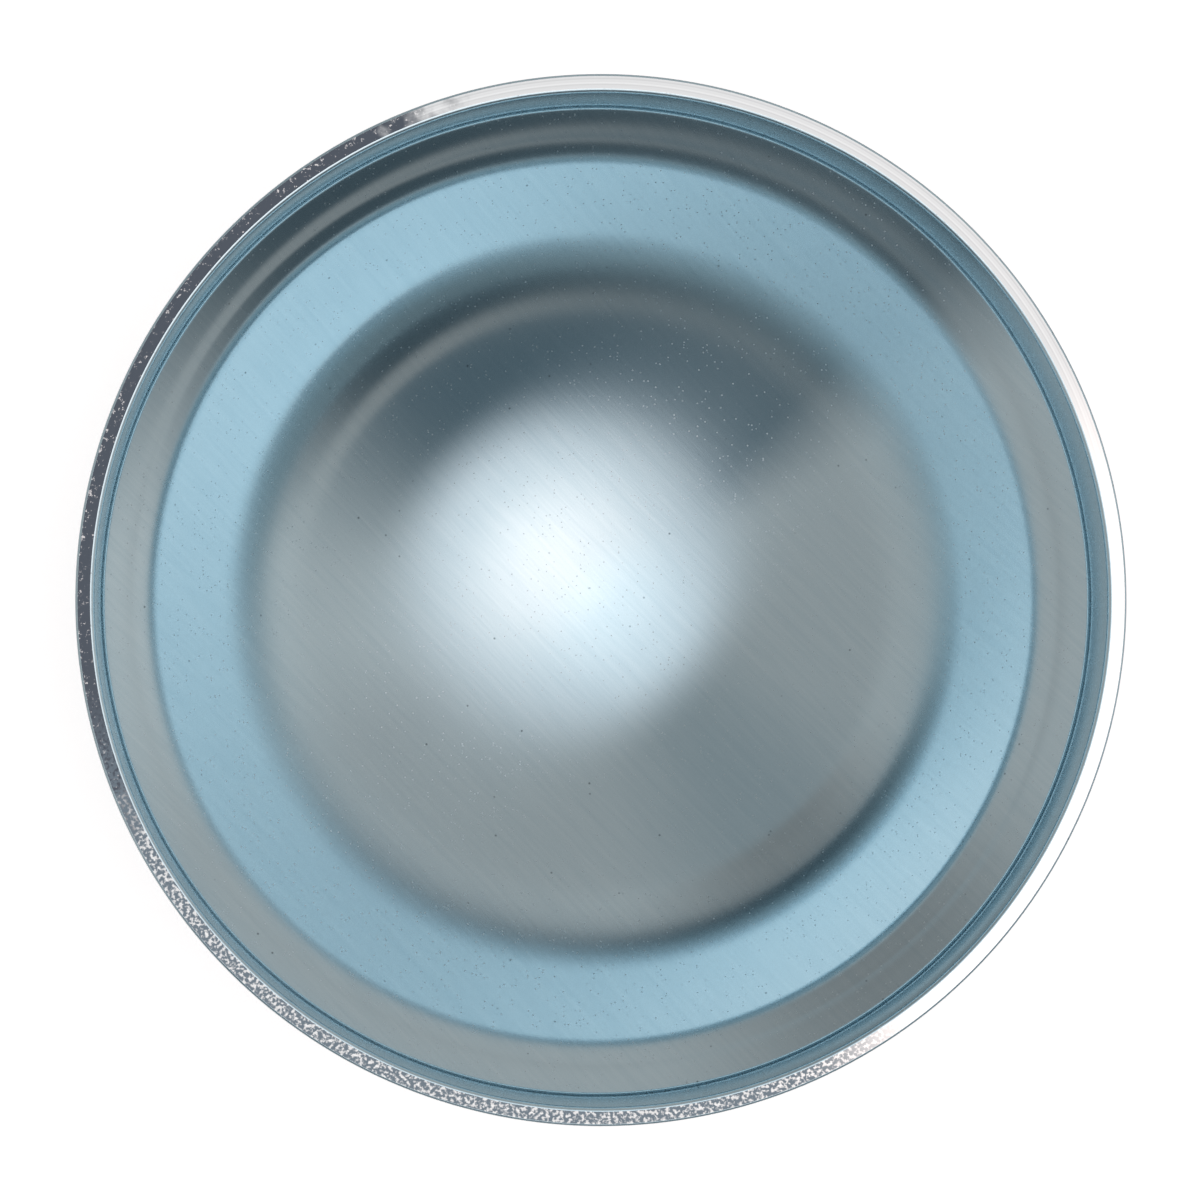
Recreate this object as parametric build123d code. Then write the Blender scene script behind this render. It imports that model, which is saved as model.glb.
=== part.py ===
"""Dust cap of a wheel hub: a deep-drawn steel cup that is driven into the hub's bore.

The cap lies on its crown with its mouth up. The origin is the lowest point of the crown, on the
axis, and +Z points out of the mouth.
"""

import os
from math import radians, sin

from build123d import *

# Driving dimensions, in millimetres and degrees. Angles are slopes from the horizontal, radii are inside ones.
SKIRT_OUTER_D = 55.5      # press-fit diameter, the nominal size of the hub's bore
SHEET = 1.0               # thickness of the drawn sheet
SKIRT_HEIGHT = 6.4        # straight press-fit wall, from the trimmed edge down to the fillet
SKIRT_ANGLE = 90.0        # upright, for a press fit along its whole height
FILLET_R = 0.46           # from the skirt into the shoulder
ROOT_ANGLE = 39.8         # slope of the shoulder at the fillet
ROOT_R = 10.8             # hollow outer half of the shoulder
SHOULDER_ANGLE = 31.3     # flattest slope of the shoulder, where a driving tool bears on it
BROW_R = 6.2              # rounded inner half of the shoulder, over into the dome
WALL_ANGLE = 49.5         # steepest slope of the dome, under the brow
WALL_R = 74.0             # long curve of the dome's side
HIP_ANGLE = 44.0          # slope of the side where it turns into the hip
HIP_R = 3.0               # hip between the side and the crown
CROWN_ANGLE = 34.2        # slope where the hip meets the crown
INNER_EDGE_R = 0.22       # rolled-over inner corner of the trimmed edge
OUTER_EDGE_R = 0.12       # broken outer corner of the trimmed edge


def reach(radius, low_angle, high_angle):
    """How far out from the axis an arc between two slopes goes."""
    return radius * (sin(radians(high_angle)) - sin(radians(low_angle)))


# The crown is one arc, which takes what the other arcs leave of the skirt's inside radius.
skirt_r = SKIRT_OUTER_D / 2 - SHEET
shoulder_reach = reach(FILLET_R, ROOT_ANGLE, SKIRT_ANGLE) + reach(ROOT_R, SHOULDER_ANGLE, ROOT_ANGLE)
brow_reach = reach(BROW_R, SHOULDER_ANGLE, WALL_ANGLE)
side_reach = reach(WALL_R, HIP_ANGLE, WALL_ANGLE) + reach(HIP_R, CROWN_ANGLE, HIP_ANGLE)
crown_r = (skirt_r - shoulder_reach - brow_reach - side_reach) / sin(radians(CROWN_ANGLE))


def drawn_cup():
    """The cup as drawn: a line of tangent arcs, one sheet thick, turned about the axis."""
    with BuildLine(Plane.XZ) as sheet_line:
        crown = JernArc((0, SHEET), (1, 0), crown_r, CROWN_ANGLE)
        hip = JernArc(crown @ 1, crown % 1, HIP_R, HIP_ANGLE - CROWN_ANGLE)
        wall = JernArc(hip @ 1, hip % 1, WALL_R, WALL_ANGLE - HIP_ANGLE)
        brow = JernArc(wall @ 1, wall % 1, BROW_R, SHOULDER_ANGLE - WALL_ANGLE)
        root = JernArc(brow @ 1, brow % 1, ROOT_R, ROOT_ANGLE - SHOULDER_ANGLE)
        fillet_arc = JernArc(root @ 1, root % 1, FILLET_R, SKIRT_ANGLE - ROOT_ANGLE)
        Line(fillet_arc @ 1, fillet_arc @ 1 + (0, SKIRT_HEIGHT))
        offset(amount=SHEET, side=Side.LEFT)
    return revolve(make_face(sheet_line.edges()), Axis.Z)


def trimmed_edge(cup):
    """The inner and the outer rim of the sheet's cut edge, at the mouth."""
    return cup.faces().sort_by(Axis.Z)[-1].edges().sort_by(SortBy.LENGTH)


cup = drawn_cup()
cup = cup.fillet(INNER_EDGE_R, trimmed_edge(cup)[:1])
cap_shell = cup.fillet(OUTER_EDGE_R, trimmed_edge(cup)[-1:])

os.makedirs("parts", exist_ok=True)
export_step(cap_shell, "parts/cap_shell.step")
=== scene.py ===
"""Dust cap of a wheel hub, seen into its open mouth on a white studio table."""

from math import acos, atan2, cos, hypot, pi, radians, sin

import bpy
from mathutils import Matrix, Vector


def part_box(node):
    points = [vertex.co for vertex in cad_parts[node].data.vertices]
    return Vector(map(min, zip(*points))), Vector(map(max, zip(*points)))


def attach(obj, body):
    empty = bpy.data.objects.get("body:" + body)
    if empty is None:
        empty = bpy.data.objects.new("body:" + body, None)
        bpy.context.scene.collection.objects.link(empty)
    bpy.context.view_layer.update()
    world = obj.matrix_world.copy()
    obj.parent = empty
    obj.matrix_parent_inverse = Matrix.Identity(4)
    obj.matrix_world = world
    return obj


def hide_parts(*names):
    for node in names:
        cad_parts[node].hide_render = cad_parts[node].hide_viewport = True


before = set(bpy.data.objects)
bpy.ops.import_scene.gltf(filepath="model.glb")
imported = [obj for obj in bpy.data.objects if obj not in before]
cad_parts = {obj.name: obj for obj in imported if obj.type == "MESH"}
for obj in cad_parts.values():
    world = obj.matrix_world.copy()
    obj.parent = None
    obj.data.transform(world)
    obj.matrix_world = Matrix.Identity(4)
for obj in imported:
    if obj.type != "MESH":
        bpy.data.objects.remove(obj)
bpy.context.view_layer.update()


# Cap shell
# One drawn blank of steel sheet: a straight skirt that grips the hub's bore, a shoulder for the driving tool,
# and a dome that clears the axle's end. Slopes are from the horizontal and radii are the inside ones.
# The inside of the hip is rounder than the outside.
shell_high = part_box("cap_shell")[1]
outer_r = shell_high[0]
mouth_z = shell_high[2]
sheet = 0.0010
skirt_height = 0.0064
fillet_r = 0.00046
root_slope = radians(39.8)
root_r = 0.0108
shoulder_slope = radians(31.3)
brow_r = 0.0062
wall_slope = radians(49.5)
wall_r = 0.0740
hip_slope = radians(44.0)
hip_r = 0.0030
crown_slope = radians(34.2)
inner_hip_r = 0.0200
inner_edge_r = 0.00022
outer_edge_r = 0.00012
turns_around = 256
upright = radians(90)

shoulder_reach = fillet_r * (1 - sin(root_slope)) + root_r * (sin(root_slope) - sin(shoulder_slope))
brow_reach = brow_r * (sin(wall_slope) - sin(shoulder_slope))
side_reach = wall_r * (sin(wall_slope) - sin(hip_slope)) + hip_r * (sin(hip_slope) - sin(crown_slope))
crown_r = (outer_r - sheet - shoulder_reach - brow_reach - side_reach) / sin(crown_slope)

# The rounder inside hip touches the crown's and the side's arcs, so the triangle of the three arcs' centres
# gives the slopes where it starts and ends.
centres_x = (crown_r - hip_r) * sin(crown_slope) - (wall_r - hip_r) * sin(hip_slope)
centres_z = (wall_r - hip_r) * cos(hip_slope) - (crown_r - hip_r) * cos(crown_slope)
centres_apart = hypot(centres_x, centres_z)
centres_slope = atan2(centres_x, -centres_z)
to_crown = crown_r - inner_hip_r
to_wall = wall_r - inner_hip_r
inner_crown_slope = centres_slope + acos(
    (to_crown ** 2 + centres_apart ** 2 - to_wall ** 2) / (2 * to_crown * centres_apart))
inner_hip_slope = centres_slope + pi - acos(
    (to_wall ** 2 + centres_apart ** 2 - to_crown ** 2) / (2 * to_wall * centres_apart))

pen = {"x": 0.0, "z": 0.0, "heading": 0.0}


def run_straight(length):
    """Extrudes the section's line straight on, with short end stretches that keep the shading flat."""
    for part in (0.04, 0.92, 0.04):
        step = (part * length * cos(pen["heading"]), 0, part * length * sin(pen["heading"]))
        bpy.ops.mesh.extrude_region_move(TRANSFORM_OT_translate={"value": step})
        pen["x"] += step[0]
        pen["z"] += step[2]


def run_arc(radius, turn, steps):
    """Spins the end of the section's line on along an arc, to the left for a positive turn."""
    side = 1 if turn > 0 else -1
    centre_x = pen["x"] - side * radius * sin(pen["heading"])
    centre_z = pen["z"] + side * radius * cos(pen["heading"])
    bpy.ops.mesh.spin(steps=steps, angle=abs(turn), center=(centre_x, 0, centre_z), axis=(0, side, 0))
    pen["heading"] += turn
    pen["x"] = centre_x + side * radius * sin(pen["heading"])
    pen["z"] = centre_z - side * radius * cos(pen["heading"])


bpy.ops.object.select_all(action="DESELECT")
bpy.ops.mesh.primitive_plane_add(size=sheet, location=(0, 0, 0))
cap = bpy.context.object
cap.name = "cap_sheet"
bpy.ops.object.mode_set(mode="EDIT")
bpy.ops.mesh.merge(type="CENTER")

run_arc(crown_r + sheet, crown_slope, 24)
run_arc(hip_r + sheet, hip_slope - crown_slope, 6)
run_arc(wall_r + sheet, wall_slope - hip_slope, 10)
run_arc(brow_r - sheet, shoulder_slope - wall_slope, 12)
run_arc(root_r + sheet, root_slope - shoulder_slope, 6)
run_arc(fillet_r + sheet, upright - root_slope, 12)
run_straight(skirt_height - outer_edge_r)
run_arc(outer_edge_r, upright, 4)
run_straight(sheet - outer_edge_r - inner_edge_r)
run_arc(inner_edge_r, upright, 6)
run_straight(skirt_height - inner_edge_r)
run_arc(fillet_r, root_slope - upright, 14)
run_arc(root_r, shoulder_slope - root_slope, 10)
run_arc(brow_r, wall_slope - shoulder_slope, 22)
run_arc(wall_r, inner_hip_slope - wall_slope, 20)
run_arc(inner_hip_r, inner_crown_slope - inner_hip_slope, 24)
run_arc(crown_r, -inner_crown_slope, 40)

bpy.ops.mesh.select_all(action="SELECT")
bpy.ops.mesh.spin(steps=turns_around, angle=2 * pi, center=(0, 0, 0), axis=(0, 0, 1))
bpy.ops.mesh.select_all(action="SELECT")
bpy.ops.mesh.remove_doubles(threshold=1e-6)
bpy.ops.mesh.normals_make_consistent(inside=False)
bpy.ops.object.mode_set(mode="OBJECT")
bpy.ops.object.shade_smooth()
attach(cap, "root")
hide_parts("cap_shell")


# Specks in the finish
# Small round spots of the plating bath, some of the cells of a random pattern. The plate's pale crystals and
# its dark pits are both such spots, so they share one group of nodes.
specks = bpy.data.node_groups.new("plating_specks", "ShaderNodeTree")
specks.interface.new_socket("Vector", in_out="INPUT", socket_type="NodeSocketVector")
specks.interface.new_socket("Per Metre", in_out="INPUT", socket_type="NodeSocketFloat")
specks.interface.new_socket("Share", in_out="INPUT", socket_type="NodeSocketFloat")
specks.interface.new_socket("Width", in_out="INPUT", socket_type="NodeSocketFloat")
specks.interface.new_socket("Mask", in_out="OUTPUT", socket_type="NodeSocketFloat")
nodes = specks.nodes
links = specks.links
given = nodes.new("NodeGroupInput")
result = nodes.new("NodeGroupOutput")
cells = nodes.new("ShaderNodeTexVoronoi")
links.new(given.outputs["Vector"], cells.inputs["Vector"])
links.new(given.outputs["Per Metre"], cells.inputs["Scale"])
dot_shape = nodes.new("ShaderNodeMapRange")
dot_shape.interpolation_type = "SMOOTHSTEP"
dot_shape.inputs["From Min"].default_value = 0.02
dot_shape.inputs["To Min"].default_value = 1.0
dot_shape.inputs["To Max"].default_value = 0.0
links.new(cells.outputs["Distance"], dot_shape.inputs["Value"])
links.new(given.outputs["Width"], dot_shape.inputs["From Max"])
lot = nodes.new("ShaderNodeSeparateColor")
links.new(cells.outputs["Color"], lot.inputs["Color"])
chosen = nodes.new("ShaderNodeMath")
chosen.operation = "LESS_THAN"
links.new(lot.outputs["Red"], chosen.inputs[0])
links.new(given.outputs["Share"], chosen.inputs[1])
dots = nodes.new("ShaderNodeMath")
dots.operation = "MULTIPLY"
links.new(dot_shape.outputs["Result"], dots.inputs[0])
links.new(chosen.outputs["Value"], dots.inputs[1])
links.new(dots.outputs["Value"], result.inputs["Mask"])


# Zinc plate
# Blue passivated zinc over cold-rolled sheet. The rolling lines of the sheet run straight across the whole
# cup, so a light smears out across them.
plate_blue = (0.54, 0.69, 0.755, 1)
plate_dull = (0.42, 0.575, 0.65, 1)
crystal_pale = (0.80, 0.87, 0.90, 1)
pit_dark = (0.16, 0.22, 0.25, 1)
grain_angle = radians(134)

plate = bpy.data.materials.new("zinc_plate")
plate.use_nodes = True
nodes = plate.node_tree.nodes
links = plate.node_tree.links
plate_shader = nodes["Principled BSDF"]
plate_shader.inputs["Metallic"].default_value = 1.0
plate_shader.inputs["Anisotropic"].default_value = 0.93

coords = nodes.new("ShaderNodeTexCoord")
grain_place = nodes.new("ShaderNodeMapping")
grain_place.vector_type = "TEXTURE"
grain_place.inputs["Rotation"].default_value = (0, 0, grain_angle)
grain_place.inputs["Scale"].default_value = (0.0045, 0.00022, 0.0045)
grain = nodes.new("ShaderNodeTexNoise")
grain.inputs["Scale"].default_value = 1.0
grain.inputs["Detail"].default_value = 4.0
grain.inputs["Roughness"].default_value = 0.6
grain_colour = nodes.new("ShaderNodeMix")
grain_colour.data_type = "RGBA"
grain_colour.inputs["A"].default_value = plate_dull
grain_colour.inputs["B"].default_value = plate_blue
grain_bump = nodes.new("ShaderNodeBump")
grain_bump.inputs["Strength"].default_value = 0.10
grain_bump.inputs["Distance"].default_value = 0.00002
across = nodes.new("ShaderNodeCombineXYZ")
across.inputs["X"].default_value = cos(grain_angle - upright)
across.inputs["Y"].default_value = sin(grain_angle - upright)
links.new(coords.outputs["Object"], grain_place.inputs["Vector"])
links.new(grain_place.outputs["Vector"], grain.inputs["Vector"])
links.new(grain.outputs["Fac"], grain_colour.inputs["Factor"])
links.new(grain.outputs["Fac"], grain_bump.inputs["Height"])
links.new(grain_bump.outputs["Normal"], plate_shader.inputs["Normal"])
links.new(across.outputs["Vector"], plate_shader.inputs["Tangent"])

crystals = nodes.new("ShaderNodeGroup")
crystals.node_tree = specks
crystals.inputs["Per Metre"].default_value = 4600
crystals.inputs["Share"].default_value = 0.26
crystals.inputs["Width"].default_value = 0.30
pits = nodes.new("ShaderNodeGroup")
pits.node_tree = specks
pits.inputs["Per Metre"].default_value = 1300
pits.inputs["Share"].default_value = 0.16
pits.inputs["Width"].default_value = 0.12
links.new(coords.outputs["Object"], crystals.inputs["Vector"])
links.new(coords.outputs["Object"], pits.inputs["Vector"])
with_crystals = nodes.new("ShaderNodeMix")
with_crystals.data_type = "RGBA"
with_crystals.inputs["B"].default_value = crystal_pale
crystal_share = nodes.new("ShaderNodeMath")
crystal_share.operation = "MULTIPLY"
crystal_share.inputs[1].default_value = 0.35
links.new(crystals.outputs["Mask"], crystal_share.inputs[0])
links.new(crystal_share.outputs["Value"], with_crystals.inputs["Factor"])
links.new(grain_colour.outputs["Result"], with_crystals.inputs["A"])
with_pits = nodes.new("ShaderNodeMix")
with_pits.data_type = "RGBA"
with_pits.inputs["B"].default_value = pit_dark
links.new(pits.outputs["Mask"], with_pits.inputs["Factor"])
links.new(with_crystals.outputs["Result"], with_pits.inputs["A"])
links.new(with_pits.outputs["Result"], plate_shader.inputs["Base Color"])
satin = nodes.new("ShaderNodeMapRange")
satin.inputs["To Min"].default_value = 0.165
satin.inputs["To Max"].default_value = 0.45
links.new(crystals.outputs["Mask"], satin.inputs["Value"])
links.new(satin.outputs["Result"], plate_shader.inputs["Roughness"])
cap.data.materials.append(plate)


# Trimmed edge
# The shear that trims the cup leaves a cut with fine turned lines. Towards the lower right the cut carries a
# near-white painted highlight where the lamp's reflection lies.
# At the upper left a dark patch is painted reflection of the camera above, which the tent has no stand-in
# for, with bright burrs left in the cut's own colour. Below that, at the lower left, dark gritty spots are
# partly real wear and partly painted dark reflection.
cut_bright = (0.60, 0.63, 0.65, 1)
# Painted reflection: the dark of the camera's own reflection on the cut, put into the colour.
painted_reflection_dark = (0.075, 0.095, 0.12, 1)
# Partly real worn grit, partly painted dark reflection of the camera.
grit_and_reflection_dark = (0.14, 0.19, 0.23, 1)
# Painted highlight: near-white where the lamp's reflection lies on the cut.
painted_highlight_white = (0.97, 1.0, 1.0, 1)
turned_low = (0.50, 0.55, 0.57, 1)
turned_high = (0.78, 0.86, 0.88, 1)
turned_lines_per_metre = 9000
# Where the painted dark reflection is centred, at the upper left.
painted_reflection_azimuth = radians(158)
# Where the grit with painted dark reflection is centred, at the lower left.
grit_and_reflection_azimuth = radians(248)

edge = bpy.data.materials.new("trimmed_edge")
edge.use_nodes = True
nodes = edge.node_tree.nodes
links = edge.node_tree.links
edge_shader = nodes["Principled BSDF"]
edge_shader.inputs["Metallic"].default_value = 1.0
edge_shader.inputs["Roughness"].default_value = 0.38
coords = nodes.new("ShaderNodeTexCoord")
from_axis = nodes.new("ShaderNodeVectorMath")
from_axis.operation = "MULTIPLY"
from_axis.inputs[1].default_value = (1, 1, 0)
links.new(coords.outputs["Object"], from_axis.inputs[0])
radius = nodes.new("ShaderNodeVectorMath")
radius.operation = "LENGTH"
links.new(from_axis.outputs["Vector"], radius.inputs[0])
way = nodes.new("ShaderNodeVectorMath")
way.operation = "NORMALIZE"
links.new(from_axis.outputs["Vector"], way.inputs[0])
toward_painted_reflection = nodes.new("ShaderNodeVectorMath")
toward_painted_reflection.operation = "DOT_PRODUCT"
toward_painted_reflection.inputs[1].default_value = (cos(painted_reflection_azimuth), sin(painted_reflection_azimuth), 0)
links.new(way.outputs["Vector"], toward_painted_reflection.inputs[0])
ragged = nodes.new("ShaderNodeTexNoise")
ragged.inputs["Scale"].default_value = 900
ragged.inputs["Detail"].default_value = 3.0
links.new(coords.outputs["Object"], ragged.inputs["Vector"])
painted_reflection_outline = nodes.new("ShaderNodeMath")
painted_reflection_outline.operation = "MULTIPLY_ADD"
painted_reflection_outline.inputs[1].default_value = 0.25
links.new(ragged.outputs["Fac"], painted_reflection_outline.inputs[0])
links.new(toward_painted_reflection.outputs["Value"], painted_reflection_outline.inputs[2])
# Painted reflection: a dark patch with a ragged outline around the upper left.
painted_reflection_patch = nodes.new("ShaderNodeMapRange")
painted_reflection_patch.interpolation_type = "SMOOTHSTEP"
painted_reflection_patch.inputs["From Min"].default_value = 0.74
painted_reflection_patch.inputs["From Max"].default_value = 0.86
links.new(painted_reflection_outline.outputs["Value"], painted_reflection_patch.inputs["Value"])

turned_place = nodes.new("ShaderNodeMath")
turned_place.operation = "MULTIPLY"
turned_place.inputs[1].default_value = turned_lines_per_metre
links.new(radius.outputs["Value"], turned_place.inputs[0])
turned = nodes.new("ShaderNodeTexNoise")
turned.noise_dimensions = "1D"
turned.inputs["Scale"].default_value = 1.0
turned.inputs["Detail"].default_value = 2.0
links.new(turned_place.outputs["Value"], turned.inputs["W"])
turned_colour = nodes.new("ShaderNodeMix")
turned_colour.data_type = "RGBA"
turned_colour.inputs["A"].default_value = turned_low
turned_colour.inputs["B"].default_value = turned_high
links.new(turned.outputs["Fac"], turned_colour.inputs["Factor"])

burr_spots = nodes.new("ShaderNodeTexNoise")
burr_spots.inputs["Scale"].default_value = 4800
burr_spots.inputs["Detail"].default_value = 3.0
burr_spots.inputs["Roughness"].default_value = 0.7
links.new(coords.outputs["Object"], burr_spots.inputs["Vector"])
outward = nodes.new("ShaderNodeMapRange")
outward.inputs["From Min"].default_value = outer_r - sheet
outward.inputs["From Max"].default_value = outer_r
outward.inputs["To Max"].default_value = 0.09
links.new(radius.outputs["Value"], outward.inputs["Value"])
burr_height = nodes.new("ShaderNodeMath")
burr_height.operation = "ADD"
links.new(burr_spots.outputs["Fac"], burr_height.inputs[0])
links.new(outward.outputs["Result"], burr_height.inputs[1])
burrs = nodes.new("ShaderNodeMapRange")
burrs.inputs["From Min"].default_value = 0.66
burrs.inputs["From Max"].default_value = 0.72
links.new(burr_height.outputs["Value"], burrs.inputs["Value"])
# Inside the painted reflection the burrs keep the cut's own bright colour.
painted_reflection_colour = nodes.new("ShaderNodeMix")
painted_reflection_colour.data_type = "RGBA"
painted_reflection_colour.inputs["A"].default_value = painted_reflection_dark
painted_reflection_colour.inputs["B"].default_value = cut_bright
links.new(burrs.outputs["Result"], painted_reflection_colour.inputs["Factor"])
edge_colour = nodes.new("ShaderNodeMix")
edge_colour.data_type = "RGBA"
links.new(painted_reflection_patch.outputs["Result"], edge_colour.inputs["Factor"])
# Painted highlight: near-white towards the lower right, opposite the painted reflection.
painted_highlight = nodes.new("ShaderNodeMapRange")
painted_highlight.interpolation_type = "SMOOTHSTEP"
painted_highlight.inputs["From Min"].default_value = -0.60
painted_highlight.inputs["From Max"].default_value = -0.92
links.new(toward_painted_reflection.outputs["Value"], painted_highlight.inputs["Value"])
painted_highlight_colour = nodes.new("ShaderNodeMix")
painted_highlight_colour.data_type = "RGBA"
painted_highlight_colour.inputs["B"].default_value = painted_highlight_white
links.new(painted_highlight.outputs["Result"], painted_highlight_colour.inputs["Factor"])
links.new(turned_colour.outputs["Result"], painted_highlight_colour.inputs["A"])
links.new(painted_highlight_colour.outputs["Result"], edge_colour.inputs["A"])
links.new(painted_reflection_colour.outputs["Result"], edge_colour.inputs["B"])

toward_grit_and_reflection = nodes.new("ShaderNodeVectorMath")
toward_grit_and_reflection.operation = "DOT_PRODUCT"
toward_grit_and_reflection.inputs[1].default_value = (cos(grit_and_reflection_azimuth), sin(grit_and_reflection_azimuth), 0)
links.new(way.outputs["Vector"], toward_grit_and_reflection.inputs[0])
# Lower left: spots that are partly real grit and partly painted dark reflection.
grit_and_reflection_side = nodes.new("ShaderNodeMapRange")
grit_and_reflection_side.interpolation_type = "SMOOTHSTEP"
grit_and_reflection_side.inputs["From Min"].default_value = 0.50
grit_and_reflection_side.inputs["From Max"].default_value = 0.72
links.new(toward_grit_and_reflection.outputs["Value"], grit_and_reflection_side.inputs["Value"])
grit = nodes.new("ShaderNodeTexNoise")
grit.inputs["Scale"].default_value = 5200
grit.inputs["Detail"].default_value = 2.0
links.new(coords.outputs["Object"], grit.inputs["Vector"])
grit_spots = nodes.new("ShaderNodeMapRange")
grit_spots.inputs["From Min"].default_value = 0.40
grit_spots.inputs["From Max"].default_value = 0.52
links.new(grit.outputs["Fac"], grit_spots.inputs["Value"])
grit_and_reflection_spots = nodes.new("ShaderNodeMath")
grit_and_reflection_spots.operation = "MULTIPLY"
links.new(grit_and_reflection_side.outputs["Result"], grit_and_reflection_spots.inputs[0])
links.new(grit_spots.outputs["Result"], grit_and_reflection_spots.inputs[1])
grit_and_reflection_colour = nodes.new("ShaderNodeMix")
grit_and_reflection_colour.data_type = "RGBA"
grit_and_reflection_colour.inputs["B"].default_value = grit_and_reflection_dark
links.new(grit_and_reflection_spots.outputs["Value"], grit_and_reflection_colour.inputs["Factor"])
links.new(edge_colour.outputs["Result"], grit_and_reflection_colour.inputs["A"])
links.new(grit_and_reflection_colour.outputs["Result"], edge_shader.inputs["Base Color"])
cap.data.materials.append(edge)
for face in cap.data.polygons:
    if face.center.z > mouth_z - 1e-6:
        face.material_index = 1


# Floor
# A white table under the cap. It fills up to plain white for the camera and keeps the cap's shadow.
bpy.ops.object.select_all(action="DESELECT")
bpy.ops.mesh.primitive_plane_add(size=2.0, location=(0, 0, 0))
floor = bpy.context.object
floor.name = "studio_floor"
table = bpy.data.materials.new("white_table")
table.use_nodes = True
nodes = table.node_tree.nodes
links = table.node_tree.links
table_shader = nodes["Principled BSDF"]
table_shader.inputs["Base Color"].default_value = (0.85, 0.85, 0.85, 1)
table_shader.inputs["Roughness"].default_value = 0.9
table_shader.inputs["Emission Color"].default_value = (1, 1, 1, 1)
seen = nodes.new("ShaderNodeLightPath")
fill = nodes.new("ShaderNodeMath")
fill.operation = "MULTIPLY"
fill.inputs[1].default_value = 0.62
links.new(seen.outputs["Is Camera Ray"], fill.inputs[0])
links.new(fill.outputs["Value"], table_shader.inputs["Emission Strength"])
floor.data.materials.append(table)


# Studio light
# A cloth tent with a softbox overhead, its lamp off to the lower right and a faint bounce card opposite.
# The walls have a dark opening, a bright panel and a dim corner, with a level of their own at each height,
# and the table's sweep closes the tent at the bottom.
softbox_polar, softbox_azimuth = radians(8.2), radians(318)
softbox_inside, softbox_outside = radians(23.0), radians(36.0)
lamp_polar, lamp_azimuth = radians(12.3), radians(320)
bounce_polar, bounce_azimuth = radians(7.5), radians(140)
bounce_inside, bounce_outside = radians(1.0), radians(17.0)
bounce_level = 0.32
bounce_tint = (0.92, 0.98, 1.0)
cloth_strength = 2.1

tent = bpy.data.worlds.new("tent")
bpy.context.scene.world = tent
tent.use_nodes = True
nodes = tent.node_tree.nodes
links = tent.node_tree.links
backdrop = nodes["Background"]
toward = nodes.new("ShaderNodeTexCoord")


def nearness(polar, azimuth):
    """A node with the cosine of the angle between the looked-at direction and the given one."""
    near = nodes.new("ShaderNodeVectorMath")
    near.operation = "DOT_PRODUCT"
    near.inputs[1].default_value = (sin(polar) * cos(azimuth), sin(polar) * sin(azimuth), cos(polar))
    links.new(toward.outputs["Generated"], near.inputs[0])
    return near


near_softbox = nearness(softbox_polar, softbox_azimuth)
softbox = nodes.new("ShaderNodeMapRange")
softbox.interpolation_type = "SMOOTHSTEP"
softbox.inputs["From Min"].default_value = cos(softbox_outside)
softbox.inputs["From Max"].default_value = cos(softbox_inside)
links.new(near_softbox.outputs["Value"], softbox.inputs["Value"])

near_lamp = nearness(lamp_polar, lamp_azimuth)
cloth = nodes.new("ShaderNodeValToRGB")
cloth_stops = (
    (36.0, (0.42, 0.39, 0.39)), (24.0, (0.50, 0.46, 0.46)), (15.0, (0.66, 0.60, 0.59)),
    (8.0, (0.92, 0.78, 0.74)), (0.0, (1.02, 0.83, 0.78)))
while len(cloth.color_ramp.elements) < len(cloth_stops):
    cloth.color_ramp.elements.new(0.5)
for element, (angle, colour) in zip(cloth.color_ramp.elements, cloth_stops):
    element.position = cos(radians(angle))
    element.color = (*colour, 1)
links.new(near_lamp.outputs["Value"], cloth.inputs["Fac"])
cloth_level = nodes.new("ShaderNodeVectorMath")
cloth_level.operation = "SCALE"
cloth_level.inputs["Scale"].default_value = cloth_strength
links.new(cloth.outputs["Color"], cloth_level.inputs[0])

near_bounce = nearness(bounce_polar, bounce_azimuth)
bounce = nodes.new("ShaderNodeMapRange")
bounce.interpolation_type = "SMOOTHSTEP"
bounce.inputs["From Min"].default_value = cos(bounce_outside)
bounce.inputs["From Max"].default_value = cos(bounce_inside)
bounce.inputs["To Max"].default_value = bounce_level
links.new(near_bounce.outputs["Value"], bounce.inputs["Value"])
overhead = nodes.new("ShaderNodeVectorMath")
overhead.operation = "MULTIPLY_ADD"
overhead.inputs[0].default_value = bounce_tint
links.new(bounce.outputs["Result"], overhead.inputs[1])
links.new(cloth_level.outputs["Vector"], overhead.inputs[2])

around = nodes.new("ShaderNodeTexGradient")
around.gradient_type = "RADIAL"
links.new(toward.outputs["Generated"], around.inputs["Vector"])
height = nodes.new("ShaderNodeSeparateXYZ")
links.new(toward.outputs["Generated"], height.inputs["Vector"])
warm, cool, white = (1.0, 0.91, 0.87), (0.78, 1.0, 1.14), (1.0, 1.0, 1.0)
round_the_tent = (
    (-180, "wall"), (-150, "wall"), (-134, "opening"), (-42, "opening"), (-8, "panel"), (8, "panel"),
    (30, "wall"), (95, "wall"), (118, "corner"), (136, "corner"), (155, "wall"), (180, "wall"))
tent_heights = (
    (None, {"wall": (0.51, warm), "opening": (0.15, cool), "panel": (0.66, warm), "corner": (0.35, white)}),
    ((55.5, 58.5), {
        "wall": (0.60, warm), "opening": (0.36, warm), "panel": (0.72, warm), "corner": (0.30, warm)}),
    ((61, 65), {
        "wall": (0.60, warm), "opening": (0.09, cool), "panel": (0.78, warm), "corner": (0.32, warm)}),
    ((77, 82), dict.fromkeys(("wall", "opening", "panel", "corner"), (0.62, white))))
sides = None
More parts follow.
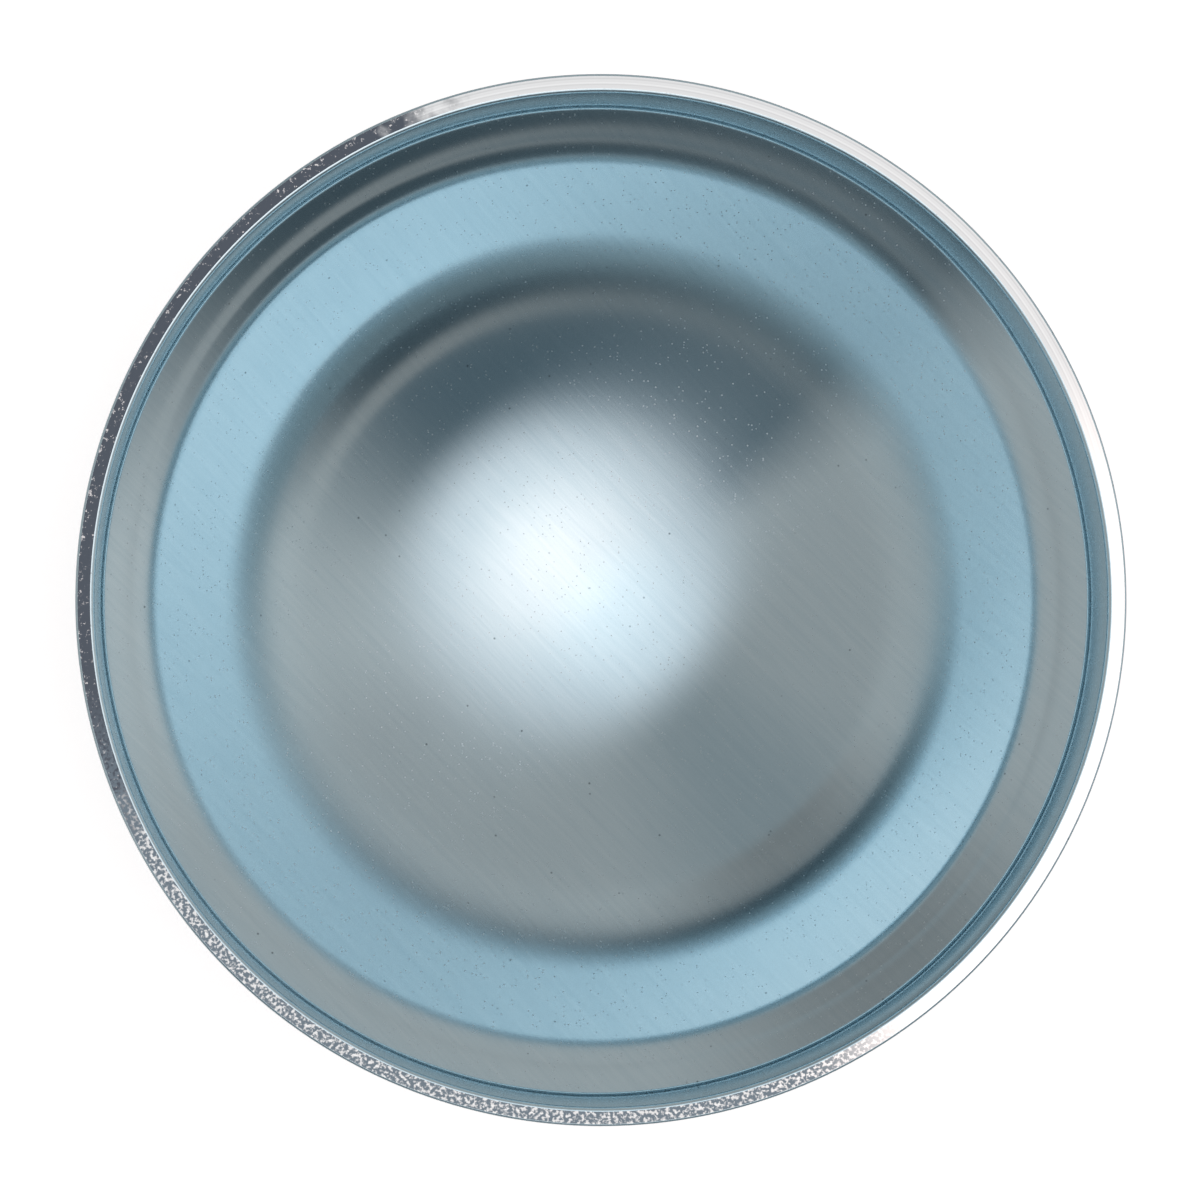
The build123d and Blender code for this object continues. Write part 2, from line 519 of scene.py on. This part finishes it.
for edge_polar, light_of in tent_heights:
    band = nodes.new("ShaderNodeValToRGB")
    while len(band.color_ramp.elements) < len(round_the_tent):
        band.color_ramp.elements.new(0.5)
    for element, (angle, cloth_piece) in zip(band.color_ramp.elements, round_the_tent):
        level, tint = light_of[cloth_piece]
        element.position = 0.5 + angle / 360
        element.color = (level * tint[0], level * tint[1], level * tint[2], 1)
    links.new(around.outputs["Fac"], band.inputs["Fac"])
    if sides is None:
        sides = band.outputs["Color"]
        continue
    below = nodes.new("ShaderNodeMapRange")
    below.interpolation_type = "SMOOTHSTEP"
    below.inputs["From Min"].default_value = cos(radians(edge_polar[1]))
    below.inputs["From Max"].default_value = cos(radians(edge_polar[0]))
    below.inputs["To Min"].default_value = 1.0
    below.inputs["To Max"].default_value = 0.0
    links.new(height.outputs["Z"], below.inputs["Value"])
    joined = nodes.new("ShaderNodeMix")
    joined.data_type = "RGBA"
    links.new(below.outputs["Result"], joined.inputs["Factor"])
    links.new(sides, joined.inputs["A"])
    links.new(band.outputs["Color"], joined.inputs["B"])
    sides = joined.outputs["Result"]
whole_tent = nodes.new("ShaderNodeMix")
whole_tent.data_type = "RGBA"
links.new(softbox.outputs["Result"], whole_tent.inputs["Factor"])
links.new(sides, whole_tent.inputs["A"])
links.new(overhead.outputs["Vector"], whole_tent.inputs["B"])

looked_at = nodes.new("ShaderNodeLightPath")
shown = nodes.new("ShaderNodeMix")
shown.data_type = "RGBA"
shown.inputs["B"].default_value = (1, 1, 1, 1)
links.new(looked_at.outputs["Is Camera Ray"], shown.inputs["Factor"])
links.new(whole_tent.outputs["Result"], shown.inputs["A"])
links.new(shown.outputs["Result"], backdrop.inputs["Color"])


# Camera
# Above the mouth and a little to the left of the axis, looking down at the middle of the mouth.
camera_height = 0.250
camera_lean = (-0.0113, -0.00195)
photo_side = 1200
rim_px = 527.0
rim_centre_px = (603.62, 599.58)
sensor_mm = 36.0

bpy.ops.object.camera_add(
    location=(camera_lean[0], camera_lean[1], mouth_z + camera_height),
    rotation=(atan2(-camera_lean[1], camera_height), atan2(camera_lean[0], camera_height), 0))
camera = bpy.context.object
camera.data.sensor_width = sensor_mm
camera.data.lens = sensor_mm * camera_height * rim_px / outer_r / photo_side
camera.data.shift_x = (photo_side / 2 - rim_centre_px[0]) / photo_side
camera.data.shift_y = (rim_centre_px[1] - photo_side / 2) / photo_side
bpy.context.scene.camera = camera
bpy.context.scene.view_settings.view_transform = "Standard"
